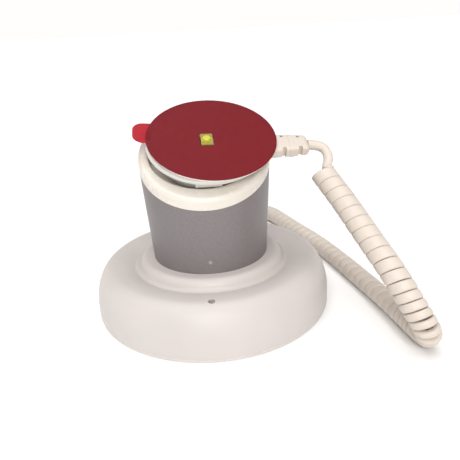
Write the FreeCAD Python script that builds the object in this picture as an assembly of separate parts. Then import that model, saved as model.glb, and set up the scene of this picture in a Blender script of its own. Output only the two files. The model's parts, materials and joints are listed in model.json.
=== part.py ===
"""Retail anti-theft display stand for a mobile phone: a domed alarm base, a tapered
sleeve with a slanted magnetic cup, and a sensor puck on a curly cord. Millimetres, +Z up,
origin at the centre of the underside. The cup slopes down towards -Y, the front."""
import FreeCAD
import Part
import math
import os

os.makedirs("parts", exist_ok=True)

V = FreeCAD.Vector
Place = FreeCAD.Placement
Turn = FreeCAD.Rotation
X_AXIS = V(1, 0, 0)
Y_AXIS = V(0, 1, 0)
Z_AXIS = V(0, 0, 1)

# ---- driving dimensions --------------------------------------------------------------
base_radius = 45.0
base_height = 18.8          # top of the dome, outside the collar
base_wall = 2.2
foot_thick = 1.2            # adhesive foam foot
plate_thick = 2.0           # base plate above the foot
valley_radius = 29.6        # groove between dome and collar
valley_height = 17.4
collar_height = 20.9        # the sleeve stands on this
column_hole = 19.6

sleeve_radius = 21.8        # outer radius at the collar
sleeve_taper = 0.0582       # radius gained per millimetre of height
sleeve_wall = 1.2
sleeve_edge = 56.5          # height of the slanted edge on the axis

cup_tilt = 26.15            # degrees from level
rim_height = 60.5           # height of the rim plane on the axis
rim_rounding = 1.9
recess_radius = 20.2
recess_depth = 5.2

puck_across = 1.36          # the puck's seat in the cup: sideways,
puck_up_slope = -1.17       # along the slope,
puck_proud = 5.26           # and the liner's height above the rim plane
puck_lean = 4.14            # leaning towards the cord, degrees
puck_lean_slope = -0.97
puck_spin = 2.6
lid_radius = 21.6
lid_thick = 1.4
pad_radius = 22.9
pad_thick = 1.0
liner_radius = 23.3
liner_thick = 0.2
pad_across = 1.9            # the pad is stuck on a little off centre
pad_along = 1.4
shell_top_radius = 19.3
shell_bottom_radius = 17.3
puck_depth = 8.9            # liner face to the puck's underside
window_x = 4.5
window_y = 6.5

wire_radius = 1.8
lower_coil_radius = 3.75
upper_coil_radius = 4.35

light_angle = -91.5         # azimuth of the indicator and of the sleeve's dot, degrees
pin_gap = 0.05              # radial clearance of pins, screws and light pipes
seat_gap = 0.1              # clearance between seated parts

# ---- working frames ------------------------------------------------------------------
cup_frame = Place(V(0, 0, rim_height), Turn(X_AXIS, cup_tilt))
puck_seat = Place(V(puck_across, puck_up_slope, puck_proud),
                  Turn(Y_AXIS, puck_lean).multiply(Turn(X_AXIS, puck_lean_slope)))
puck_frame = cup_frame.multiply(puck_seat).multiply(Place(V(0, 0, 0), Turn(Z_AXIS, puck_spin)))
cos_tilt = math.cos(math.radians(cup_tilt))
edge_offset = -(rim_height - sleeve_edge) * cos_tilt    # sleeve's edge plane, in the cup frame


# ---- helpers -------------------------------------------------------------------------
def disc(radius, low, high, x=0.0, y=0.0):
    return Part.makeCylinder(radius, high - low, V(x, y, low))


def ring(outer, inner, low, high, x=0.0, y=0.0):
    return disc(outer, low, high, x, y).cut(disc(inner, low - 1, high + 1, x, y))


def block(size_x, size_y, low, high, x=0.0, y=0.0):
    return Part.makeBox(size_x, size_y, high - low, V(x - size_x / 2, y - size_y / 2, low))


def place(shape, frame):
    moved = shape.copy()
    moved.Placement = frame.multiply(moved.Placement)
    return moved


def slab(low, high):
    """A wide slice across the cup's axis, between two heights in the cup frame."""
    return place(block(120, 120, low, high), cup_frame)


def revolve(steps):
    """Turn an outline about the Z axis. A step is an end point (r, z), or a pair of a
    mid point and an end point for an arc."""
    edges = []
    here = V(steps[0][0], 0, steps[0][1])
    start = here
    for step in steps[1:]:
        if isinstance(step[0], tuple):
            middle = V(step[0][0], 0, step[0][1])
            there = V(step[1][0], 0, step[1][1])
            edges.append(Part.Arc(here, middle, there).toShape())
        else:
            there = V(step[0], 0, step[1])
            edges.append(Part.LineSegment(here, there).toShape())
        here = there
    edges.append(Part.LineSegment(here, start).toShape())
    return Part.Face(Part.Wire(edges)).revolve(V(0, 0, 0), Z_AXIS, 360)


def around(shape, count, first_angle=0.0):
    """Copies of a shape, evenly spaced about the Z axis."""
    copies = []
    for number in range(count):
        copy = shape.copy()
        copy.rotate(V(0, 0, 0), Z_AXIS, first_angle + 360.0 * number / count)
        copies.append(copy)
    return copies


def fuse_all(shapes):
    return shapes[0].multiFuse(shapes[1:]).removeSplitter()


def fillet_circle(shape, radius, height, size):
    """Round the circular edges of one radius at one height."""
    chosen = [edge for edge in shape.Edges
              if isinstance(edge.Curve, Part.Circle)
              and abs(edge.Curve.Radius - radius) < 0.01
              and abs(edge.Curve.Center.z - height) < 0.01]
    return shape.makeFillet(size, chosen)


def export(name, shape):
    solids = shape.Solids
    assert solids and all(solid.isValid() for solid in solids), name
    body = solids[0] if len(solids) == 1 else Part.makeCompound(solids)
    body.exportStep("parts/" + name + ".step")
    box = body.BoundBox
    print("%-22s %2d solid  %8.1f mm3  z %6.1f to %5.1f"
          % (name, len(solids), body.Volume, box.ZMin, box.ZMax))


# ---- base ----------------------------------------------------------------------------
cover_low = foot_thick + 0.1
plate_top = foot_thick + plate_thick
boss_circle = 37.0
boss_radius = 3.0
screw_core = 1.25
light_radius = 1.15
light_lean = 18.0           # the indicator's hole leans outwards with the dome's surface
light_circle = 37.2
gland_x = 5.0
gland_height = 7.6
gland_neck = 2.9
socket_x = -16.0
socket_height = 12.15
light_frame = Place(V(0, 0, 0), Turn(Z_AXIS, light_angle)).multiply(
    Place(V(light_circle, 0, base_height - 0.5), Turn(Y_AXIS, light_lean)))


def base_cover():
    outer = [
        (base_radius, cover_low), (base_radius, 6.0),
        ((44.3, 11.0), (42.3, 15.6)), ((40.2, 17.8), (36.6, base_height)),
        ((33.0, 18.55), (valley_radius, valley_height)),
        ((28.4, 17.7), (27.6, 18.8)), ((26.3, 20.4), (24.0, collar_height)),
        (column_hole, collar_height), (column_hole, 17.8)]
    inner = [
        (26.0, 17.8), (28.0, valley_height - base_wall), (33.0, 16.3),
        ((37.6, 16.2), (40.2, 14.3)), ((42.2, 10.4), (base_radius - base_wall, 6.0)),
        (base_radius - base_wall, cover_low)]
    shell = revolve(outer + inner)
    boss = disc(boss_radius, plate_top + seat_gap, 16.4, boss_circle, 0)
    bosses = around(boss, 4, 45)
    shell = fuse_all([shell] + bosses)
    cores = around(disc(screw_core + pin_gap, plate_top - 1, 12.0, boss_circle, 0), 4, 45)
    holes = around(disc(1.0 + pin_gap, 17.0, 19.8, 22.4, 0), 3, 30)
    lamp = place(disc(light_radius + pin_gap, -12, 3), light_frame)
    gland = Part.makeCylinder(gland_neck + pin_gap, 12, V(gland_x, 38, gland_height), Y_AXIS)
    socket = block(8.4, 16, socket_height - 1.8, socket_height + 1.8, socket_x, 42)
    for tool in cores + holes + [lamp, gland, socket]:
        shell = shell.cut(tool)
    return shell


def base_plate():
    plate = disc(base_radius - base_wall - seat_gap, foot_thick, plate_top)
    for hole in around(disc(1.6, 0, 9, boss_circle, 0), 4, 45):
        plate = plate.cut(hole)
    for sink in around(disc(2.7, foot_thick - 1, foot_thick + 1.2, boss_circle, 0), 4, 45):
        plate = plate.cut(sink)
    return plate


def base_screws():
    head = disc(2.5, foot_thick + 0.1, foot_thick + 1.15, boss_circle, 0)
    shank = disc(screw_core, foot_thick + 1.15, 10.5, boss_circle, 0)
    return Part.makeCompound(around(head.fuse(shank).removeSplitter(), 4, 45))


def foot_pad():
    pad = disc(base_radius - 0.7, 0, foot_thick)
    for hole in around(disc(3.2, -1, 3, boss_circle, 0), 4, 45):
        pad = pad.cut(hole)
    return pad


ballast_top = plate_top + 5.0
board_low = ballast_top + 1.0
board_top = board_low + 1.6


def ballast_weight():
    return ring(32.5, 17.0, plate_top + 0.05, ballast_top)


def board_spacers():
    return Part.makeCompound(around(ring(2.4, 1.1, ballast_top, board_low, 24.0, 0), 3, 30))


def main_board():
    board = disc(32.5, board_low, board_top)
    front = block(8, 10, board_low, board_top, -1, -33.5)
    rear = block(10, 10, board_low, board_top, socket_x, 30.5)
    board = fuse_all([board, front, rear])
    for hole in around(disc(1.1, 0, 20, 24.0, 0), 3, 30):
        board = board.cut(hole)
    return board


def battery():
    pack = block(22, 18, plate_top + 0.05, ballast_top - 0.4)
    return pack.makeFillet(0.8, [e for e in pack.Edges if abs(e.Vertexes[0].Z - e.Vertexes[1].Z) > 1])


def siren():
    body = disc(6.5, board_top, board_top + 3.8, -8, 7)
    return body.cut(disc(1.0, board_top + 2.8, board_top + 5, -8, 7))


def charging_socket():
    low = board_top + 0.05
    shell = block(7.6, 7.0, low, low + 2.6, socket_x, 34.0)
    mouth = block(6.8, 6.0, low + 0.4, low + 2.2, socket_x, 35.5)
    return shell.cut(mouth)


def indicator_led():
    lamp = Place(V(0, 0, 0), Turn(Z_AXIS, light_angle))
    return place(block(2.4, 2.8, board_top, board_top + 0.9, 34.7, 0), lamp)


def indicator_lens():
    rod = disc(light_radius, -5.6, -0.35)
    return place(rod.makeFillet(0.3, [rod.Edges[0]]), light_frame)


def relief_body(length, wide, narrow, thick, thin, notches, notch_wide, notch_deep):
    """A moulded strain relief along +X with pairs of side slots and a rounded tip."""
    def section(x, across, height):
        corners = [V(x, sy * across / 2, sz * height / 2)
                   for sy, sz in ((-1, -1), (1, -1), (1, 1), (-1, 1), (-1, -1))]
        return Part.makePolygon(corners)
    body = Part.makeLoft([section(0, wide, thick), section(length, narrow, thin)], True, True)
    long_edges = [e for e in body.Edges if abs(e.Vertexes[0].X - e.Vertexes[1].X) > length / 2]
    body = body.makeFillet(0.8, long_edges)
    for x in notches:
        half = wide / 2 - (wide - narrow) / 2 * x / length
        for side in (-1, 1):
            slot = block(notch_wide, 2 * notch_deep, -thick, thick, x, side * half)
            body = body.cut(slot)
    return body


def base_gland():
    """The relief where the cord leaves the back of the base, its axis along +Y."""
    body = relief_body(11.5, 7.2, 5.4, 4.4, 3.8, (2.9, 7.6), 1.2, 1.3)
    neck = Part.makeCylinder(gland_neck - 0.05 - seat_gap, 6.0, V(-4.6, 0, 0), X_AXIS)
    flange = Part.makeCylinder(4.0, 1.4, V(-6.0, 0, 0), X_AXIS)
    frame = Place(V(gland_x, base_radius + seat_gap + 0.2, gland_height), Turn(Z_AXIS, 90))
    neck_and_body = body.common(block(40, 40, -10, 10, 20, 0)).fuse([neck, flange])
    return place(neck_and_body.removeSplitter(), frame)


# ---- column, sleeve and cup ----------------------------------------------------------
column_radius = 19.3
column_wall = 2.0
flange_radius = 25.0
skirt_depth = -9.4          # bottom of the cup's skirt, in the cup frame
shelf_top = -13.1           # the column's slanted shelf, in the cup frame
shelf_low = -15.1
post_across = 12.5          # the cup's two screw posts


def sleeve_cone(inset, low=15.0, high=80.0):
    """A solid cone that follows the sleeve's outside, drawn in by inset."""
    bottom = sleeve_radius + sleeve_taper * (low - collar_height) - inset
    top = sleeve_radius + sleeve_taper * (high - collar_height) - inset
    return Part.makeCone(bottom, top, high - low, V(0, 0, low))


def sleeve():
    shell = sleeve_cone(0, collar_height + 0.02).cut(sleeve_cone(sleeve_wall))
    shell = shell.cut(slab(edge_offset - 0.02, 60))
    lamp = Place(V(0, 0, 0), Turn(Z_AXIS, light_angle))
    dot = Part.makeCylinder(0.8 + pin_gap, 8, V(18, 0, 25.4), X_AXIS)
    return shell.cut(place(dot, lamp))


def sleeve_light_pipe():
    lamp = Place(V(0, 0, 0), Turn(Z_AXIS, light_angle))
    pin = Part.makeCylinder(0.8, 2.4, V(19.6, 0, 25.4), X_AXIS)
    head = Part.makeCylinder(1.5, 0.7, V(19.6, 0, 25.4), X_AXIS)
    return place(pin.fuse(head).removeSplitter(), lamp)


def column():
    tube = ring(column_radius, column_radius - column_wall, 15.7, 80)
    tube = tube.cut(slab(skirt_depth - seat_gap, 80))
    shelf = disc(column_radius - 0.5, 20, 80).common(slab(shelf_low, shelf_top))
    flange = ring(flange_radius, column_radius - column_wall, 15.7, 17.7)
    body = fuse_all([tube, shelf, flange])
    for hole in around(disc(1.1, 10, 20, 22.4, 0), 3, 30):
        body = body.cut(hole)
    body = body.cut(place(disc(5.0, shelf_low - 2, shelf_top + 2), cup_frame))
    for side in (-1, 1):
        hole = disc(1.1, shelf_low - 2, shelf_top + 2, side * post_across, 0)
        body = body.cut(place(hole, cup_frame))
    return body


def column_screws():
    head = disc(1.9, 14.4, 15.65, 22.4, 0)
    shank = disc(1.0, 15.65, 19.4, 22.4, 0)
    return Part.makeCompound(around(head.fuse(shank).removeSplitter(), 3, 30))


magnet_radius = 8.0
magnet_low = -10.4
magnet_high = -7.3


def cup_ring():
    wall = sleeve_cone(0).common(slab(edge_offset, 0))
    rim_edges = [e for e in wall.Edges
                 if abs(cup_frame.inverse().multVec(e.BoundBox.Center).z) < 0.3]
    wall = wall.makeFillet(rim_rounding, rim_edges)
    skirt = sleeve_cone(sleeve_wall + seat_gap).common(slab(skirt_depth, edge_offset))
    body = wall.fuse(skirt)
    recess = disc(recess_radius, -recess_depth, 5)
    body = body.cut(place(recess, cup_frame))
    lip = [e for e in body.Edges if isinstance(e.Curve, Part.Circle)
           and abs(e.Curve.Radius - recess_radius) < 0.01
           and abs(cup_frame.inverse().multVec(e.Curve.Center).z) < 0.1]
    body = body.makeFillet(0.9, lip)
    hollow = sleeve_cone(sleeve_wall + seat_gap + 2.0).common(slab(skirt_depth - 1, -7.0))
    boss = disc(magnet_radius + 1.6, magnet_low - 0.2, -6.0)
    posts = [disc(2.6, shelf_top + 0.05, -6.0, side * post_across, 0) for side in (-1, 1)]
    added = [place(shape, cup_frame) for shape in [boss] + posts]
    body = body.cut(hollow).fuse(added).removeSplitter()
    pocket = disc(magnet_radius + pin_gap, magnet_low - 1, magnet_high + 0.05)
    body = body.cut(place(pocket, cup_frame))
    for side in (-1, 1):
        core = disc(0.9 + pin_gap, shelf_top - 1, -8.4, side * post_across, 0)
        body = body.cut(place(core, cup_frame))
    exit_slot = Part.makeBox(16, 10.6, 12, V(15.5, relief_side - 5.3, -6.3))
    return body.cut(place(exit_slot, puck_frame))


def cup_magnet():
    return place(disc(magnet_radius, magnet_low, magnet_high), cup_frame)


def cup_screws():
    screws = []
    for side in (-1, 1):
        head = disc(1.8, shelf_low - 1.3, shelf_low - 0.05, side * post_across, 0)
        shank = disc(0.9, shelf_low - 0.05, -9.0, side * post_across, 0)
        screws.append(place(head.fuse(shank).removeSplitter(), cup_frame))
    return Part.makeCompound(screws)


# ---- puck, in its own frame with z = 0 on the liner's face ---------------------------
pad_low = -liner_thick - pad_thick
lid_low = pad_low - lid_thick
shell_floor = -puck_depth + 1.4
post_circle = 12.6
relief_mid = -3.65          # mid height of the cord's relief
relief_side = -0.7          # and how far it sits to the front
relief_start = 22.7
relief_length = 14.4


def window(low, high, grow=0.0):
    return block(window_x + grow, window_y + grow, low, high)


def release_liner():
    sheet = disc(liner_radius, -liner_thick, 0)
    tab = block(8.0, 11.2, -liner_thick, 0, -liner_radius - 0.6, 3.6)
    tips = [e for e in tab.Edges if e.Vertexes[0].X < -liner_radius - 4
            and abs(e.Vertexes[0].Z - e.Vertexes[1].Z) > liner_thick / 2]
    sheet = sheet.fuse(tab.makeFillet(3.0, tips)).removeSplitter()
    sheet.translate(V(pad_across, pad_along, 0))
    return place(sheet.cut(window(-1, 1)), puck_frame)


def foam_pad():
    pad = disc(pad_radius, pad_low, -liner_thick, pad_across, pad_along)
    return place(pad.cut(window(-3, 1)), puck_frame)


def puck_lid():
    lid = disc(lid_radius, lid_low, pad_low)
    lid = lid.makeFillet(0.5, [lid.Edges[0], lid.Edges[2]])
    skirt = ring(16.7, 15.6, lid_low - 1.7, lid_low)
    skirt = skirt.cut(block(12, 8.8, lid_low - 3, lid_low, 18, relief_side))
    posts = around(disc(1.5, shell_floor + 0.1, lid_low, post_circle, 0), 3, 90)
    lid = fuse_all([lid, skirt] + posts)
    for core in around(disc(0.8 + pin_gap, -9, -4.2, post_circle, 0), 3, 90):
        lid = lid.cut(core)
    return place(lid.cut(window(-6, 1)), puck_frame)


def puck_shell():
    height = puck_depth + lid_low - 0.05
    outside = Part.makeCone(shell_bottom_radius, shell_top_radius, height, V(0, 0, -puck_depth))
    outside = fillet_circle(outside, shell_bottom_radius, -puck_depth, 1.2)
    inside = Part.makeCone(shell_bottom_radius - 1.4, shell_top_radius - 1.5,
                           height - 1.4 + 0.1, V(0, 0, shell_floor))
    key = Part.makeBox(9.0, 1.6, 1.5, V(-5.5, -shell_top_radius - 0.1, -5.0))
    shell = outside.fuse(key).cut(inside).removeSplitter()
    slot = Part.makeBox(8, 6.2, 4, V(14, relief_side - 3.1, relief_mid - 1.45))
    shell = shell.cut(slot)
    for hole in around(disc(0.8 + 0.15, -10, -7, post_circle, 0), 3, 90):
        shell = shell.cut(hole)
    for sink in around(disc(1.55, -10, -puck_depth + 0.8, post_circle, 0), 3, 90):
        shell = shell.cut(sink)
    return place(shell, puck_frame)


def puck_screws():
    head = disc(1.4, -puck_depth + 0.05, -puck_depth + 0.8, post_circle, 0)
    shank = disc(0.8, -puck_depth + 0.8, -4.6, post_circle, 0)
    screws = Part.makeCompound(around(head.fuse(shank).removeSplitter(), 3, 90))
    return place(screws, puck_frame)


def puck_armature():
    return place(ring(10.2, 2.0, shell_floor + 0.05, shell_floor + 0.9), puck_frame)


def puck_board():
    board = disc(14.7, -6.45, -5.65)
    for hole in around(disc(1.7, -8, -4, post_circle, 0), 3, 90):
        board = board.cut(hole)
    return place(board, puck_frame)


def detector_switch():
    body = block(3.6, 3.6, -5.65, -4.85)
    return place(body.fuse(disc(0.8, -4.85, -4.65)).removeSplitter(), puck_frame)


def plunger():
    foot = block(6.2, 6.6, lid_low - 0.8, lid_low - 0.05)
    head = block(window_x - 0.3, window_y - 0.3, lid_low - 0.1, 0.15)
    button = disc(1.65, 0, 0.95)
    button = button.makeFillet(0.6, [button.Edges[0]])
    return place(fuse_all([foot, head, button]), puck_frame)


def puck_relief():
    body = relief_body(relief_length, 9.7, 7.8, 4.3, 3.9, (4.9, 10.9), 1.3, 1.4)
    neck = block(7.3, 5.9, -1.35, 0.95, -3.45, 0)
    flange = block(1.4, 7.2, -1.8, 0.9, -7.6, 0)
    shape = body.fuse([neck, flange]).removeSplitter()
    return place(place(shape, Place(V(relief_start, relief_side, relief_mid), Turn())), puck_frame)


# ---- cord ----------------------------------------------------------------------------
lead_length = 5.36          # straight on from the relief's tip to the route's next point
relief_tip = puck_frame.multVec(V(relief_start + relief_length, relief_side, relief_mid))
lead_end = V(relief_start + relief_length + lead_length, relief_side, relief_mid)
relief_lead = puck_frame.multVec(lead_end)
gland_tip = V(gland_x, base_radius + seat_gap + 0.2 + 11.5, gland_height)

# from the gland behind the base, round to the right, along the table to the fold at the
# front, and back up to the puck
route = [
    gland_tip,
    V(5.0, 65.5, 7.6),
    V(7.0, 76.0, 4.4),
    V(14.5, 84.5, 3.75),
    V(25.5, 86.5, 3.75),
    V(34.5, 80.5, 3.75),
    V(38.4, 69.0, 3.75),
    V(43.8, 53.5, 3.75),
    V(50.8, 35.0, 3.75),
    V(56.6, 13.0, 3.75),
    V(61.0, -7.0, 3.75),
    V(64.6, -25.0, 4.2),
    V(66.9, -37.0, 4.55),
    V(68.45, -44.7, 4.55),
    V(67.85, -48.0, 6.6),
    V(66.1, -49.1, 10.4),
    V(63.1, -46.0, 15.9),
    V(58.4, -38.7, 25.0),
    V(52.6, -27.3, 34.2),
    V(47.6, -17.7, 42.6),
    V(42.9, -10.0, 49.4),
    V(40.5, -6.0, 53.0),
    V(45.5, -3.5, 55.35),
    relief_lead,
    relief_tip,
]
coil_start = 4              # the coil begins half way along this run,
coil_swell = 11             # swells to its full diameter half way along this one,
coil_end = 20               # and ends half way along this one


def route_path(points, first_run, last_run):
    """Straight runs joined by tangent arcs, from the middle of one run to the middle of
    another; a run number of None means the route's own end."""
    start = points[0]
    if first_run is not None:
        start = (points[first_run] + points[first_run + 1]) * 0.5
    end = points[-1]
    if last_run is not None:
        end = (points[last_run] + points[last_run + 1]) * 0.5
    first_corner = 1 if first_run is None else first_run + 1
    last_corner = len(points) - 2 if last_run is None else last_run
    edges = []
    here = start
    for number in range(first_corner, last_corner + 1):
        corner = points[number]
        before = corner - points[number - 1]
        after = points[number + 1] - corner
        reach = 0.45 * min(before.Length, after.Length)
        turn = before.getAngle(after)
        radius = reach / math.tan(turn / 2)
        along_before = V(before).normalize()
        along_after = V(after).normalize()
        enter = corner - along_before * reach
        leave = corner + along_after * reach
        inward = (along_after - along_before).normalize()
        middle = corner + inward * (radius / math.cos(turn / 2) - radius)
        edges.append(Part.LineSegment(here, enter).toShape())
        edges.append(Part.Arc(enter, middle, leave).toShape())
        print("  corner %2d  turn %5.1f deg  radius %6.1f mm" % (number, math.degrees(turn), radius))
        here = leave
    edges.append(Part.LineSegment(here, end).toShape())
    return Part.Wire(edges)


def cord_tube(name, radius, first_run, last_run):
    path = route_path(route, first_run, last_run)
    first = path.Edges[0]
    heading = first.tangentAt(first.FirstParameter)
    circle = Part.Wire(Part.makeCircle(radius, first.valueAt(first.FirstParameter), heading))
    tube = path.makePipeShell([circle], True, True)
    print("  %s length %.1f mm, volume over section times length %.4f"
          % (name, path.Length, tube.Volume / (math.pi * radius ** 2 * path.Length)))
    export(name, tube)


for maker in (base_cover, base_plate, base_screws, foot_pad, ballast_weight, board_spacers,
              main_board, battery, siren, charging_socket, indicator_led, indicator_lens,
              base_gland, sleeve, sleeve_light_pipe, column, column_screws, cup_ring,
              cup_magnet, cup_screws, release_liner, foam_pad, puck_lid, puck_shell,
              puck_screws, puck_armature, puck_board, detector_switch, plunger, puck_relief):
    export(maker.__name__, maker())

cord_tube("cord_tail_base", wire_radius, None, coil_start)
cord_tube("cord_coil_lower", lower_coil_radius, coil_start, coil_swell)
cord_tube("cord_coil_upper", upper_coil_radius, coil_swell, coil_end)
cord_tube("cord_tail_puck", wire_radius, coil_end, None)
print("puck axis", puck_frame.Rotation.multVec(Z_AXIS), "face centre", puck_frame.Base)
print("lift axis", cup_frame.Rotation.multVec(Z_AXIS))
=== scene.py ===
"""Looks of a retail anti-theft phone stand: camera, curly cord, moulded pieces,
materials and studio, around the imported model. Metres, in the model's own frame."""
import json
import math

import bmesh
import bpy
from mathutils import Matrix, Vector, noise


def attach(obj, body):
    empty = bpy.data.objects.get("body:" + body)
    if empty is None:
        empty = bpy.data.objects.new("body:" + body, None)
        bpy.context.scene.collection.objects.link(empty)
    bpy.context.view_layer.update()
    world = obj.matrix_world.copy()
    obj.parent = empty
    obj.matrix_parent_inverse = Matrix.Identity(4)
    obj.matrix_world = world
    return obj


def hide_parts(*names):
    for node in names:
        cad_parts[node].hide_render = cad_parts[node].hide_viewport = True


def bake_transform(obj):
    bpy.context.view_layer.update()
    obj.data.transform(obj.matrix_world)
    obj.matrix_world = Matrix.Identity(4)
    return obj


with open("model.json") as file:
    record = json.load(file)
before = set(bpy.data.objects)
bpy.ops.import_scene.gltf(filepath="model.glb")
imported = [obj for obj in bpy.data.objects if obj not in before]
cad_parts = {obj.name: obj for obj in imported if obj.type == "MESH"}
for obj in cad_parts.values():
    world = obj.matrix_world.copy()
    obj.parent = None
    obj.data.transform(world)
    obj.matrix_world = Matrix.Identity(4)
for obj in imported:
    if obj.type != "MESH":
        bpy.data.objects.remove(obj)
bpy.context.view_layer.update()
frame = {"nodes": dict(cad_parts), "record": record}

MM = 0.001
UP = Vector((0, 0, 1))
nodes = frame["nodes"]


# ---- camera --------------------------------------------------------------------------
camera_place = Vector((0, -186.19, 103.89)) * MM
camera_heading = 2.44       # degrees to the right of straight ahead
camera_dip = 22.11          # degrees below level
camera_roll = -3.27
camera_lens = 40.7
camera_sensor = 36.0


def make_camera():
    data = bpy.data.cameras.new("camera")
    data.lens = camera_lens
    data.sensor_width = camera_sensor
    data.clip_start = 0.01
    camera = bpy.data.objects.new("camera", data)
    bpy.context.collection.objects.link(camera)
    heading = Matrix.Rotation(math.radians(-camera_heading), 4, "Z")
    dip = Matrix.Rotation(math.radians(90 - camera_dip), 4, "X")
    roll = Matrix.Rotation(math.radians(camera_roll), 4, "Z")
    camera.matrix_world = Matrix.Translation(camera_place) @ heading @ dip @ roll
    bpy.context.scene.camera = camera


# ---- working frames, as in the model ---------------------------------------------------
def turned(axis, degrees):
    return Matrix.Rotation(math.radians(degrees), 4, axis)


def moved(x, y, z):
    return Matrix.Translation(Vector((x, y, z)) * MM)


cup_frame = moved(0, 0, 60.5) @ turned("X", 26.15)
puck_lean = turned("Y", 4.14) @ turned("X", -0.97) @ turned("Z", 2.6)
puck_frame = cup_frame @ moved(1.36, -1.17, 5.26) @ puck_lean
puck_relief_frame = puck_frame @ moved(22.7, -0.7, -3.65)
gland_frame = moved(5.0, 45.3, 7.6) @ turned("Z", 90)


# ---- release liner -------------------------------------------------------------------
liner_radius = 23.3
liner_centre = (1.9, 1.4)
tab_out = 27.9              # the tab's end, from the liner's own centre
tab_middle = 3.6
tab_half = 5.6
tab_round = 3.8
window_half = (2.25, 3.25)
liner_red = (0.17, 0.010, 0.015)
# painted light: the tab's red is the film lit through from behind, where no foam backs it
tab_red_painted_backlit = (0.37, 0.02, 0.032)


# ---- materials -----------------------------------------------------------------------
def button_moulding():
    """Olive plastic in the pad's window, with the yellow button in its middle."""
    shader = Shader("yellow_button", Subsurface_Weight=0.1)
    from_centre = shader.add("ShaderNodeVectorMath", operation="DISTANCE")
    from_centre.inputs[1].default_value = puck_frame.translation
    shader.link(shader.place, from_centre.inputs[0])
    head = shader.span(from_centre.outputs["Value"], 0, 1, 0.0018, 0.0020)
    tone = shader.span(shader.noise(900.0, 2.0), 0, 1)
    yellow = shader.mix(tone, (0.50, 0.45, 0.03), (0.56, 0.51, 0.035))
    shader.colour(shader.mix(head, yellow, (0.25, 0.22, 0.02)))
    shader.roughness(shader.noise(600.0), 0.18, 0.28)
    shader.bump(shader.noise(1500.0, 2.0), 0.00001)
    return shader.material


WHITE = (0.575, 0.525, 0.504)
CREAM = (0.64, 0.57, 0.505)


class Shader:
    """A Principled material whose colour, roughness and bump come from noise."""

    def __init__(self, name, **constants):
        self.material = bpy.data.materials.new(name)
        self.material.use_nodes = True
        self.tree = self.material.node_tree
        self.surface = self.tree.nodes["Principled BSDF"]
        self.place = self.add("ShaderNodeTexCoord").outputs["Object"]
        for socket, value in constants.items():
            self.surface.inputs[socket.replace("_", " ")].default_value = value

    def add(self, kind, **settings):
        node = self.tree.nodes.new(kind)
        for key, value in settings.items():
            setattr(node, key, value)
        return node

    def link(self, out, into):
        self.tree.links.new(out, into)

    def noise(self, scale, detail=3.0, stretch=None):
        """Noise with that many features per metre, stretched along the axes if asked."""
        place = self.place
        if stretch:
            mapping = self.add("ShaderNodeMapping")
            mapping.inputs["Scale"].default_value = stretch
            self.link(place, mapping.inputs["Vector"])
            place = mapping.outputs["Vector"]
        texture = self.add("ShaderNodeTexNoise")
        texture.inputs["Scale"].default_value = scale
        texture.inputs["Detail"].default_value = detail
        self.link(place, texture.inputs["Vector"])
        return texture.outputs["Fac"]

    def span(self, value, low, high, from_low=0.3, from_high=0.7):
        mapper = self.add("ShaderNodeMapRange")
        mapper.inputs["From Min"].default_value = from_low
        mapper.inputs["From Max"].default_value = from_high
        mapper.inputs["To Min"].default_value = low
        mapper.inputs["To Max"].default_value = high
        self.link(value, mapper.inputs["Value"])
        return mapper.outputs["Result"]

    def mix(self, factor, first, second):
        mixer = self.add("ShaderNodeMix", data_type="RGBA")
        self.link(factor, mixer.inputs["Factor"])
        for socket, colour in (("A", first), ("B", second)):
            into = next(i for i in mixer.inputs if i.name == socket and i.type == "RGBA")
            if isinstance(colour, tuple):
                into.default_value = (*colour, 1)
            else:
                self.link(colour, into)
        return next(o for o in mixer.outputs if o.type == "RGBA")

    def colour(self, out):
        self.link(out, self.surface.inputs["Base Color"])

    def roughness(self, value, low, high):
        self.link(self.span(value, low, high), self.surface.inputs["Roughness"])

    def bump(self, height, depth, strength=1.0):
        """Raise the surface by up to depth metres."""
        node = self.add("ShaderNodeBump")
        node.inputs["Strength"].default_value = strength
        node.inputs["Distance"].default_value = depth
        self.link(height, node.inputs["Height"])
        self.link(node.outputs["Normal"], self.surface.inputs["Normal"])


def shade(colour, factor):
    return tuple(channel * factor for channel in colour)


def moulded(name, colour, rough, grain=2600.0, grain_depth=0.00002, drift=0.05, **constants):
    """Moulded plastic: a spark-eroded grain and a faint uneven tone."""
    shader = Shader(name, **constants)
    tone = shader.span(shader.noise(45.0, 2.0), 0.0, 1.0)
    shader.colour(shader.mix(tone, shade(colour, 1 - drift), colour))
    shader.roughness(shader.noise(220.0), rough - 0.05, rough + 0.06)
    shader.bump(shader.noise(grain, 2.0), grain_depth)
    return shader.material


def metal(name, colour, rough, stretch, depth=0.00001):
    """Bare or plated metal, brushed along one axis."""
    shader = Shader(name, Metallic=1.0)
    strokes = shader.noise(900.0, 4.0, stretch)
    shader.colour(shader.mix(shader.span(strokes, 0, 1), shade(colour, 0.8), colour))
    shader.roughness(strokes, rough - 0.06, rough + 0.12)
    shader.bump(strokes, depth)
    return shader.material


def sleeve_paint():
    """Satin grey metallic lacquer with fine flakes."""
    shader = Shader("sleeve_paint", Metallic=0.4, IOR=1.45)
    flakes = shader.span(shader.noise(5200.0, 1.0), 0, 1, 0.35, 0.65)
    shader.colour(shader.mix(flakes, (0.19, 0.171, 0.174), (0.25, 0.226, 0.229)))
    shader.roughness(shader.noise(160.0), 0.40, 0.48)
    shader.bump(shader.noise(1500.0, 2.0), 0.000012)
    return shader.material


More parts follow.
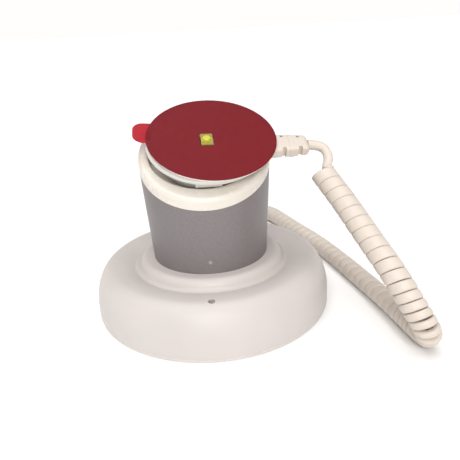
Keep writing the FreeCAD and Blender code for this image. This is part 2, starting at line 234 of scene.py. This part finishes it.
def liner_film():
    """Red polyester release film. Its tab is painted brighter, as painted light shining through the
    film where no foam is behind it.
    """
    shader = Shader("red_liner", Specular_IOR_Level=0.1)
    blush = shader.span(shader.noise(70.0, 3.0), 0, 1)
    over_foam = shader.mix(blush, shade(liner_red, 0.92), liner_red)
    from_centre = shader.add("ShaderNodeVectorMath", operation="DISTANCE")
    from_centre.inputs[1].default_value = (*(Vector(liner_centre) * MM), 0)
    shader.link(shader.place, from_centre.inputs[0])
    edge = liner_radius * MM
    # past the foam's edge the film takes the tab's painted, backlit red
    backlit_tab_mask = shader.span(from_centre.outputs["Value"], 0, 1, edge - 0.0001, edge + 0.0003)
    shader.colour(shader.mix(backlit_tab_mask, over_foam, tab_red_painted_backlit))
    shader.roughness(shader.noise(300.0), 0.42, 0.54)
    shader.bump(shader.noise(380.0, 2.0), 0.000014)
    return shader.material


def foam(name, colour, cell=1500.0):
    """Closed-cell foam with small pits on its cut edge, painted darker inside the pits as their shade.
    """
    shader = Shader(name, IOR=1.4)
    cells = shader.add("ShaderNodeTexVoronoi")
    cells.inputs["Scale"].default_value = cell
    shader.link(shader.place, cells.inputs["Vector"])
    pits_and_pit_shade = shader.span(cells.outputs["Distance"], 0, 1, 0.05, 0.6)
    # painted shade: the pits are coloured darker, as the shade that falls in them
    shader.colour(shader.mix(pits_and_pit_shade, shade(colour, 0.86), colour))
    shader.roughness(shader.noise(700.0), 0.78, 0.92)
    shader.bump(pits_and_pit_shade, 0.00008, 0.6)
    return shader.material


def board_lacquer():
    shader = Shader("board_lacquer", IOR=1.5)
    tracks = shader.add("ShaderNodeTexBrick")
    tracks.inputs["Scale"].default_value = 320.0
    tracks.inputs["Color1"].default_value = (0.012, 0.11, 0.045, 1)
    tracks.inputs["Color2"].default_value = (0.02, 0.17, 0.07, 1)
    tracks.inputs["Mortar"].default_value = (0.03, 0.24, 0.11, 1)
    tracks.inputs["Mortar Size"].default_value = 0.03
    shader.link(shader.place, tracks.inputs["Vector"])
    shader.colour(tracks.outputs["Color"])
    shader.roughness(shader.noise(400.0), 0.25, 0.4)
    shader.bump(tracks.outputs["Fac"], 0.00003)
    return shader.material


def clear_moulding():
    shader = Shader("clear_moulding", IOR=1.49, Transmission_Weight=0.75)
    tone = shader.span(shader.noise(500.0), 0, 1)
    shader.colour(shader.mix(tone, (0.86, 0.85, 0.82), (0.94, 0.93, 0.9)))
    shader.roughness(shader.noise(900.0), 0.05, 0.16)
    shader.bump(shader.noise(1200.0), 0.00001)
    return shader.material


def floor_material():
    shader = Shader("studio_paper", IOR=1.3)
    tone = shader.span(shader.noise(9.0), 0, 1)
    shader.colour(shader.mix(tone, (0.93, 0.93, 0.93), (0.95, 0.95, 0.95)))
    shader.roughness(shader.noise(30.0), 0.85, 0.95)
    return shader.material



finishes = {
    "white_cover": moulded("white_cover", WHITE, 0.42, Subsurface_Weight=0.04),
    "white_cup": moulded("white_cup", (0.72, 0.67, 0.605), 0.26, 1800.0, 0.000008),
    "grey_sleeve": sleeve_paint(),
    "red_liner": liner_film(),
    "white_foam": foam("white_foam", (0.86, 0.84, 0.80)),
    "pale_foam": foam("pale_foam", (0.66, 0.62, 0.60)),
    "puck_plastic": moulded("puck_plastic", (0.62, 0.60, 0.56), 0.24, 1800.0, 0.00001),
    "yellow_button": button_moulding(),
    "relief_moulding": moulded("relief_moulding", CREAM, 0.46, 2200.0, 0.00003),
    "cord_jacket": moulded("cord_jacket", CREAM, 0.46, 2400.0, 0.000016, Specular_IOR_Level=0.35),
    "clear_lens": clear_moulding(),
    "steel": metal("steel", (0.56, 0.55, 0.54), 0.34, (1, 14, 1)),
    "zinc_screw": metal("zinc_screw", (0.66, 0.66, 0.64), 0.28, (1, 1, 10)),
    "magnet_nickel": metal("magnet_nickel", (0.72, 0.71, 0.68), 0.14, (1, 1, 1), 0.000003),
    "circuit_board": board_lacquer(),
    "battery_wrap": moulded("battery_wrap", (0.14, 0.19, 0.26), 0.3, 900.0, 0.00002),
    "black_plastic": moulded("black_plastic", (0.02, 0.02, 0.021), 0.45),
    "natural_nylon": moulded("natural_nylon", (0.76, 0.74, 0.67), 0.5, Subsurface_Weight=0.1),
}


def dress_nodes():
    """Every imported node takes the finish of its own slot."""
    for part in frame["record"]["subparts"]:
        data = nodes[part["node"]].data
        data.materials.clear()
        data.materials.append(finishes[part["material_slot"]])


# ---- mesh helpers --------------------------------------------------------------------
def make_piece(name, vertices, faces, slot, sharp=math.radians(38)):
    mesh = bpy.data.meshes.new(name)
    mesh.from_pydata([tuple(v) for v in vertices], [], faces)
    mesh.validate()
    mesh.materials.append(finishes[slot])
    mesh.polygons.foreach_set("use_smooth", [True] * len(mesh.polygons))
    mesh.set_sharp_from_angle(angle=sharp)
    mesh.update()
    piece = bpy.data.objects.new(name, mesh)
    bpy.context.collection.objects.link(piece)
    return piece


def skin(rings, closed_ends=True):
    """Faces over rings with the same number of points, capped at both ends."""
    count = len(rings[0])
    vertices = [point for ring in rings for point in ring]
    faces = []
    for row in range(len(rings) - 1):
        for column in range(count):
            beside = (column + 1) % count
            faces.append((row * count + column, row * count + beside,
                          (row + 1) * count + beside, (row + 1) * count + column))
    if closed_ends:
        faces.append(tuple(reversed(range(count))))
        last = (len(rings) - 1) * count
        faces.append(tuple(range(last, last + count)))
    return vertices, faces


def smooth_step(value):
    value = min(max(value, 0.0), 1.0)
    return value * value * (3 - 2 * value)


def squared_circle(turn, power):
    """A point on a circle of radius 1, drawn towards a square as power nears 0."""
    return (math.copysign(abs(math.cos(turn)) ** power, math.cos(turn)),
            math.copysign(abs(math.sin(turn)) ** power, math.sin(turn)))


# ---- the cord ------------------------------------------------------------------------
# the same route as the model's own cord solids: from the gland behind the base, round to
# the right, along the table to the fold at the front, and up to the puck
route = [Vector(point) * MM for point in (
    (5.0, 56.8, 7.6), (5.0, 65.5, 7.6), (7.0, 76.0, 4.4), (14.5, 84.5, 3.75),
    (25.5, 86.5, 3.75), (34.5, 80.5, 3.75), (38.4, 69.0, 3.75), (43.8, 53.5, 3.75),
    (50.8, 35.0, 3.75), (56.6, 13.0, 3.75), (61.0, -7.0, 3.75), (64.6, -25.0, 4.2),
    (66.9, -37.0, 4.55), (68.45, -44.7, 4.55), (67.85, -48.0, 6.6), (66.1, -49.1, 10.4),
    (63.1, -46.0, 15.9), (58.4, -38.7, 25.0), (52.6, -27.3, 34.2), (47.6, -17.7, 42.6),
    (42.9, -10.0, 49.4), (40.5, -6.0, 53.0), (45.5, -3.5, 55.35), (43.43, 0.64, 59.18),
    (38.09, 0.25, 59.43))]
coil_start_run = 4          # the coil begins half way along this run of the route,
coil_swell_run = 11         # grows to its full size about the middle of this one,
coil_end_run = 20           # and ends half way along this one
wire_radius = 1.8 * MM
half_thick = 1.25 * MM      # in the coil the wire's section is flattened,
turn_gap = 0.05 * MM        # and as broad as the pitch less the gap between turns
slack_outside = 3.75 * MM   # outer radius of the coil's slack and full stretches
full_outside = 4.35 * MM
slack_pitch = 4.5 * MM
fold_pitch = 2.3 * MM
top_pitch = 4.3 * MM
swell_reach = 11 * MM       # the coil swells over twice this length
fold_low = 4 * MM           # heights of the fold, and of the close turns above it
fold_high = 32 * MM
wind_out = 2.6 * MM         # the tails stop winding over this length,
lead_out = 10 * MM          # and have left the coil's radius this far outside it
round_out = 14 * MM         # the flattened wire is round again over this length
steps_per_turn = 32
wire_sides = 20
slack_square = 0.55         # 1 for a round section, towards 0 for a square one
fold_square = 0.72
top_square = 0.34
end_side = Vector((0.91, 0.31, 0.26))   # the side on which the tail leaves the coil
blend_low = 0.0095          # a ring's weight rises from 0 at this height
blend_high = 0.052          # to 1 at this one


def spline_points(points, steps=40):
    """The points of a smooth NURBS line that the route's points control."""
    curve = bpy.data.curves.new("route", "CURVE")
    curve.dimensions = "3D"
    curve.resolution_u = steps
    spline = curve.splines.new("NURBS")
    spline.points.add(len(points) - 1)
    for control, place in zip(spline.points, points):
        control.co = (*place, 1)
    spline.order_u = 3
    spline.use_endpoint_u = True
    holder = bpy.data.objects.new("route", curve)
    mesh = bpy.data.meshes.new_from_object(holder)
    line = [vertex.co.copy() for vertex in mesh.vertices]
    bpy.data.objects.remove(holder)
    bpy.data.curves.remove(curve)
    bpy.data.meshes.remove(mesh)
    return line


class Axis:
    """A line with its length along it and a frame that doesn't twist."""

    def __init__(self, points):
        self.points = points
        self.at = [0.0]
        for before, after in zip(points, points[1:]):
            self.at.append(self.at[-1] + (after - before).length)
        self.length = self.at[-1]
        tangents = []
        for number in range(len(points)):
            before = points[max(number - 1, 0)]
            after = points[min(number + 1, len(points) - 1)]
            tangents.append((after - before).normalized())
        side = tangents[0].cross(UP).normalized()
        self.sides = [side]
        for before, after in zip(tangents, tangents[1:]):
            side = before.rotation_difference(after) @ side
            side = (side - after * side.dot(after)).normalized()
            self.sides.append(side)
        self.tangents = tangents

    def station(self, point):
        """Length along the line at its point nearest to the one given."""
        nearest = min(range(len(self.points)), key=lambda n: (self.points[n] - point).length)
        return self.at[nearest]

    def sample(self, where):
        """Point, tangent and side at a length along the line."""
        where = min(max(where, 0.0), self.length)
        low = 0
        high = len(self.at) - 1
        while high - low > 1:
            middle = (low + high) // 2
            if self.at[middle] <= where:
                low = middle
            else:
                high = middle
        part = (where - self.at[low]) / max(self.at[high] - self.at[low], 1e-9)
        return tuple(first.lerp(second, part) for first, second in (
            (self.points[low], self.points[high]),
            (self.tangents[low], self.tangents[high]),
            (self.sides[low], self.sides[high])))


def run_middle(number):
    return (route[number] + route[number + 1]) / 2


def make_cord():
    axis = Axis(spline_points(route))
    start = axis.station(run_middle(coil_start_run))
    swell = axis.station(run_middle(coil_swell_run))
    end = axis.station(run_middle(coil_end_run))

    def between(low, high, where):
        """From the slack stretch's value to the full one's."""
        return low + (high - low) * smooth_step((where - swell + swell_reach) / (2 * swell_reach))

    def inside(where, reach, early=0.0):
        """1 within the coil, falling to 0 over the reach, which begins that much early."""
        outside = max(start - where, where - end) + early
        return smooth_step(1 - outside / reach)

    def risen(where):
        """0 at the fold, 1 where the coil's turns lie close again."""
        if where < swell:
            return 0.0
        return smooth_step((axis.sample(where)[0].z - fold_low) / (fold_high - fold_low))

    def pitch_at(where):
        high = fold_pitch + (top_pitch - fold_pitch) * risen(where)
        return between(slack_pitch, high, where)

    # the helix: stations along the axis, and the angle at each
    stations = []
    where = 0.0
    angle = 0.0
    while where < axis.length:
        stations.append((where, angle))
        rate = inside(where, wind_out, wind_out / 2)
        step = min(pitch_at(where) / steps_per_turn / max(rate, 0.01), 0.4 * MM)
        angle -= rate * math.tau * step / pitch_at(where)
        where += step
    stations.append((axis.length, angle))

    # turn the whole helix so that the tail leaves on the side that it should
    point, tangent, side = axis.sample(end + wind_out)
    other = tangent.cross(side)
    shift = math.atan2(end_side.dot(other), end_side.dot(side)) - angle

    centres = []
    spokes = []
    for where, angle in stations:
        held = min(max(where, start - wind_out), end + wind_out)
        point, tangent, side = axis.sample(held)
        other = tangent.cross(side)
        spoke = (side * math.cos(angle + shift) + other * math.sin(angle + shift)).normalized()
        outside = between(slack_outside, full_outside, where)
        reach = (outside - half_thick) * inside(where, lead_out)
        centres.append(axis.sample(where)[0] + spoke * reach)
        spokes.append(spoke)

    headings = []
    for number in range(len(centres)):
        before = centres[max(number - 1, 0)]
        after = centres[min(number + 1, len(centres) - 1)]
        headings.append((after - before).normalized())

    # outside the coil each ring of the wire takes its direction from its neighbour
    first = next(n for n, station in enumerate(stations) if station[0] > start)
    last = next(n for n, station in enumerate(stations) if station[0] > end)
    for number in list(range(first - 1, -1, -1)) + list(range(last, len(stations))):
        spokes[number] = spokes[number + 1] if number < first else spokes[number - 1]
        spokes[number] -= headings[number] * spokes[number].dot(headings[number])
        spokes[number].normalize()

    rings = []
    weights = []
    for number, centre in enumerate(centres):
        heading = headings[number]
        spoke = spokes[number]
        spoke = (spoke - heading * spoke.dot(heading)).normalized()
        along = heading.cross(spoke)
        where = stations[number][0]
        flat = inside(where, wind_out)
        height = axis.sample(where)[0].z
        half_width = (pitch_at(where) - turn_gap) / 2
        broad = wire_radius + (half_width - wire_radius) * flat
        thick = wire_radius + (half_thick - wire_radius) * inside(where, round_out)
        high_square = fold_square + (top_square - fold_square) * risen(where)
        power = 1 + (between(slack_square, high_square, where) - 1) * flat
        ring = []
        for corner in range(wire_sides):
            turn = math.tau * (corner + 0.5) / wire_sides
            across, up = squared_circle(turn, power)
            ring.append(centre + along * broad * across + spoke * thick * up)
        rings.append(ring)
        # a whole ring of the wire takes the weight of the place on the coil's axis that it winds about
        weights += [smooth_step((height - blend_low) / (blend_high - blend_low))] * wire_sides
    vertices, faces = skin(rings)
    cord = make_piece("curly_cord", vertices, faces, "cord_jacket", sharp=math.radians(60))
    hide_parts("cord_tail_base", "cord_coil_lower", "cord_coil_upper", "cord_tail_puck")
    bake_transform(cord)
    length = sum((b - a).length for a, b in zip(centres, centres[1:]))
    return cord, centres, length


# ---- moulded reliefs -----------------------------------------------------------------


notch_half = 0.6            # half the length of a notch, and how deep it cuts in
notch_depth = 1.35
lip = 0.12                  # length of the steps at a notch and at the rib
rib_height = 0.14
relief_square = 0.34
tip_round = 1.5             # length over which the tip is rounded, and by how much
tip_shrink = 1.15
pocket_half = 0.5           # half the width of the pockets along a relief's far edge,
pocket_inset = 1.4          # how far in from that edge they are,
pocket_depth = 3.2          # and half the height of the block that cuts them
pocket_floor = -1.0


def sink_pocket(piece, middle):
    """Cut a small square pocket into a piece from above. Millimetres."""
    cutter_mesh = bpy.data.meshes.new("pocket")
    shape = bmesh.new()
    bmesh.ops.create_cube(shape, size=2.0)
    for vertex in shape.verts:
        x, y, z = vertex.co
        vertex.co = (middle + Vector((x * pocket_half, y * pocket_half, z * pocket_depth))) * MM
    shape.to_mesh(cutter_mesh)
    shape.free()
    cutter = bpy.data.objects.new("pocket", cutter_mesh)
    bpy.context.collection.objects.link(cutter)
    cut = piece.modifiers.new("pocket", "BOOLEAN")
    cut.object = cutter
    cut.operation = "DIFFERENCE"
    cut.solver = "EXACT"
    bpy.context.view_layer.update()
    graph = bpy.context.evaluated_depsgraph_get()
    mesh = bpy.data.meshes.new_from_object(piece.evaluated_get(graph))
    piece.modifiers.remove(cut)
    piece.data = mesh
    bpy.data.objects.remove(cutter)
    bpy.data.meshes.remove(cutter_mesh)


def relief(name, node, at, length, wide, narrow, thick, thin, notches, rib, body):
    """A strain relief along +X: a tapered bar with rounded edges, a rib round its middle,
    notches through its near edge and pockets along its far one. Millimetres."""
    steps = [0.0]
    for notch in notches:
        steps += [notch - notch_half - lip, notch - notch_half,
                  notch + notch_half, notch + notch_half + lip]
    steps += [rib[0], rib[0] + lip, rib[1] - lip, rib[1]]
    steps += [length - tip_round * part for part in (1, 0.6, 0.3, 0.1, 0)]
    steps = sorted(set(steps + [length * n / 24 for n in range(25)]))
    sides = 64
    rings = []
    for x in steps:
        half_wide = (wide + (narrow - wide) * x / length) / 2
        half_high = (thick + (thin - thick) * x / length) / 2
        close = max(0.0, x - (length - tip_round)) / tip_round
        shrink = tip_shrink * (1 - math.sqrt(max(0.0, 1 - close * close)))
        raised = rib_height if rib[0] < x < rib[1] else 0.0
        inside = any(abs(x - notch) <= notch_half + 1e-6 for notch in notches)
        ring = []
        for number in range(sides):
            turn = math.tau * (number + 0.5) / sides
            y, z = squared_circle(turn, relief_square)
            y *= half_wide - shrink + raised
            z *= half_high - shrink + raised
            if inside:
                y = max(y, notch_depth - half_wide)
            ring.append(Vector((x, y, z)) * MM)
        rings.append(ring)
    vertices, faces = skin(rings)
    piece = make_piece(name, vertices, faces, "relief_moulding", sharp=math.radians(32))
    for notch in notches:
        half_wide = (wide + (narrow - wide) * notch / length) / 2
        sink_pocket(piece, Vector((notch, half_wide - pocket_inset, pocket_depth + pocket_floor)))
    piece.matrix_world = at
    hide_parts(node)
    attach(piece, body)
    return piece


def make_reliefs():
    puck = relief("puck_relief_moulding", "puck_relief",
                  puck_relief_frame,
                  14.4, 9.7, 7.8, 4.3, 3.9, (4.9, 10.9), (7.0, 8.9), "puck")
    base = relief("base_relief_moulding", "base_gland", gland_frame,
                  11.5, 7.2, 5.4, 4.4, 3.8, (2.9, 7.6), (4.6, 5.9), "stand")
    return puck, base


# ---- release liner, foam and foot ----------------------------------------------------
def liner_outline(steps=360):
    """The film's edge about its own centre: a circle with a rounded tab at -X."""
    top = tab_middle + tab_half
    low = tab_middle - tab_half
    points = []
    first = math.pi - math.asin(top / liner_radius)
    last = math.pi - math.asin(low / liner_radius)
    sweep = math.tau - (last - first)
    for number in range(steps + 1):
        turn = last + sweep * number / steps
        points.append((liner_radius * math.cos(turn), liner_radius * math.sin(turn)))
    for centre_y, from_turn in ((top - tab_round, 90), (low + tab_round, 180)):
        for number in range(13):
            turn = math.radians(from_turn + 90 * number / 12)
            points.append((-tab_out + tab_round + tab_round * math.cos(turn),
                           centre_y + tab_round * math.sin(turn)))
    return points


def window_point(turn):
    """Where a ray from the window's centre leaves its slightly rounded outline."""
    x = math.cos(turn)
    y = math.sin(turn)
    power = 12
    grow = (abs(x / window_half[0]) ** power + abs(y / window_half[1]) ** power) ** (-1 / power)
    return x * grow, y * grow


def film_height(x, y):
    """The film's slight waves over the foam, and the lift of its tab, in millimetres."""
    wave = noise.noise(Vector((x, y, 0)) * 0.09) * 0.05
    edge = math.hypot(x - liner_centre[0], y - liner_centre[1])
    curl = smooth_step((edge - liner_radius) / 5) * 0.45
    return wave + curl


def layered_disc(outline, low, high, round_edge, height=None, rows=26, ease=1.0):
    """A closed sheet between a window and an outline, both in the puck's frame."""
    inner = [window_point(math.atan2(y, x)) for x, y in outline]
    inner = [(x * ease, y * ease) for x, y in inner]
    profile = []
    for row in range(rows + 1):
        profile.append((row / rows, high))
    profile[-1] = (1 - round_edge, high)
    profile += [(1 - 0.3 * round_edge, high - 0.3 * (high - low)), (1.0, (high + low) / 2),
                (1 - 0.3 * round_edge, low + 0.3 * (high - low)), (1 - round_edge, low)]
    profile += [(0.5, low), (0.0, low)]
    rings = []
    for part, level in profile:
        ring = []
        for (x0, y0), (x1, y1) in zip(inner, outline):
            x = x0 + (x1 - x0) * part
            y = y0 + (y1 - y0) * part
            lift = height(x, y) if height else 0.0
            ring.append(Vector((x, y, level + lift)) * MM)
        rings.append(ring)
    count = len(outline)
    vertices, faces = skin(rings + [rings[0]], closed_ends=False)
    total = len(rings) * count
    faces = [tuple(index % total for index in face) for face in faces]
    return vertices[:total], faces


def make_liner():
    outline = [(x + liner_centre[0], y + liner_centre[1]) for x, y in liner_outline()]
    vertices, faces = layered_disc(outline, -0.2, 0.0, 0.006, film_height, ease=1.05)
    piece = make_piece("release_film", vertices, faces, "red_liner")
    piece.matrix_world = puck_frame
    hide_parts("release_liner")
    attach(piece, "puck")


def circle(radius, centre=(0, 0), steps=240):
    return [(centre[0] + radius * math.cos(math.tau * n / steps),
             centre[1] + radius * math.sin(math.tau * n / steps)) for n in range(steps)]


def make_foam():
    """The adhesive foam pad, its cut edge a little uneven and rounded off at top and bottom."""
    outline = []
    for x, y in circle(22.9, liner_centre):
        ragged = 1 + 0.0022 * noise.noise(Vector((x, y, 3)) * 0.8)
        outline.append((x * ragged, y * ragged))
    vertices, faces = layered_disc(outline, -1.2, -0.22, 0.012, ease=1.08)
    piece = make_piece("adhesive_foam", vertices, faces, "white_foam")
    piece.matrix_world = puck_frame
    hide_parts("foam_pad")
    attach(piece, "puck")


def make_foot():
    """The foam foot under the base, with rounded edges."""
    radius = 44.7
    profile = [(0.0, 0.0), (radius - 0.5, 0.0), (radius - 0.15, 0.12), (radius, 0.45),
               (radius, 0.85), (radius - 0.2, 1.15), (radius - 0.6, 1.2), (0.0, 1.2)]
    steps = 192
    vertices = []
    faces = []
    for r, z in profile[1:-1]:
        for number in range(steps):
            turn = math.tau * number / steps
            ragged = 1 + 0.0012 * noise.noise(Vector((math.cos(turn), math.sin(turn), z)) * 9)
            vertices.append(Vector((r * ragged * math.cos(turn), r * ragged * math.sin(turn), z)) * MM)
    rows = len(profile) - 2
    for row in range(rows - 1):
        for column in range(steps):
            beside = (column + 1) % steps
            faces.append((row * steps + column, row * steps + beside,
                          (row + 1) * steps + beside, (row + 1) * steps + column))
    faces.append(tuple(reversed(range(steps))))
    faces.append(tuple(range((rows - 1) * steps, rows * steps)))
    piece = make_piece("foam_foot", vertices, faces, "pale_foam")
    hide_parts("foot_pad")
    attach(piece, "stand")


# ---- studio --------------------------------------------------------------------------
tent_side = 0.05            # brightness of the tent's sides
tent_roof = 0.45            # and of its roof


def soft_sun(name, place, spread, strength, colour=(1, 1, 1)):
    """A large soft light shining from that side onto the middle of the stage."""
    data = bpy.data.lights.new(name, "SUN")
    data.angle = math.radians(spread)
    data.energy = strength
    data.color = colour
    light = bpy.data.objects.new(name, data)
    bpy.context.collection.objects.link(light)
    light.location = place
    light.rotation_euler = Vector(place).to_track_quat("Z", "Y").to_euler()


def make_world():
    """A light tent: white at the horizon, dark round the sides, bright overhead."""
    world = bpy.data.worlds.new("studio")
    bpy.context.scene.world = world
    world.use_nodes = True
    tree = world.node_tree
    direction = tree.nodes.new("ShaderNodeTexCoord")
    split = tree.nodes.new("ShaderNodeSeparateXYZ")
    ramp = tree.nodes.new("ShaderNodeValToRGB")
    tree.links.new(direction.outputs["Generated"], split.inputs["Vector"])
    tree.links.new(split.outputs["Z"], ramp.inputs["Fac"])
    tree.links.new(ramp.outputs["Color"], tree.nodes["Background"].inputs["Color"])
    stops = ((0.0, 1.0), (0.16, 1.0), (0.24, tent_side), (0.6, tent_side), (0.9, tent_roof))
    for number, (height, tone) in enumerate(stops):
        element = ramp.color_ramp.elements[0] if number == 0 else ramp.color_ramp.elements.new(height)
        element.position = height
        element.color = (tone, tone * 0.99, tone * 0.98, 1)
    ramp.color_ramp.elements.remove(ramp.color_ramp.elements[-1])


def make_studio():
    bpy.context.scene.view_settings.view_transform = "Standard"
    reach = 6.0
    corners = [Vector((x * reach, y * reach, 0)) for x, y in ((-1, -1), (1, -1), (1, 1), (-1, 1))]
    mesh = bpy.data.meshes.new("floor")
    mesh.from_pydata(corners, [], [(0, 1, 2, 3)])
    mesh.materials.append(floor_material())
    floor = bpy.data.objects.new("floor", mesh)
    bpy.context.collection.objects.link(floor)
    make_world()
    soft_sun("key", (-0.04, -0.83, 0.56), 36, 2.28, (1.0, 0.98, 0.95))
    soft_sun("top", (-0.1, 0.0, 1.0), 60, 1.85)


make_camera()
dress_nodes()
cord, wire_line, wire_length = make_cord()
puck_relief_piece, base_relief_piece = make_reliefs()
print("wire length %.4f m" % wire_length)
make_liner()
make_foam()
make_foot()
make_studio()
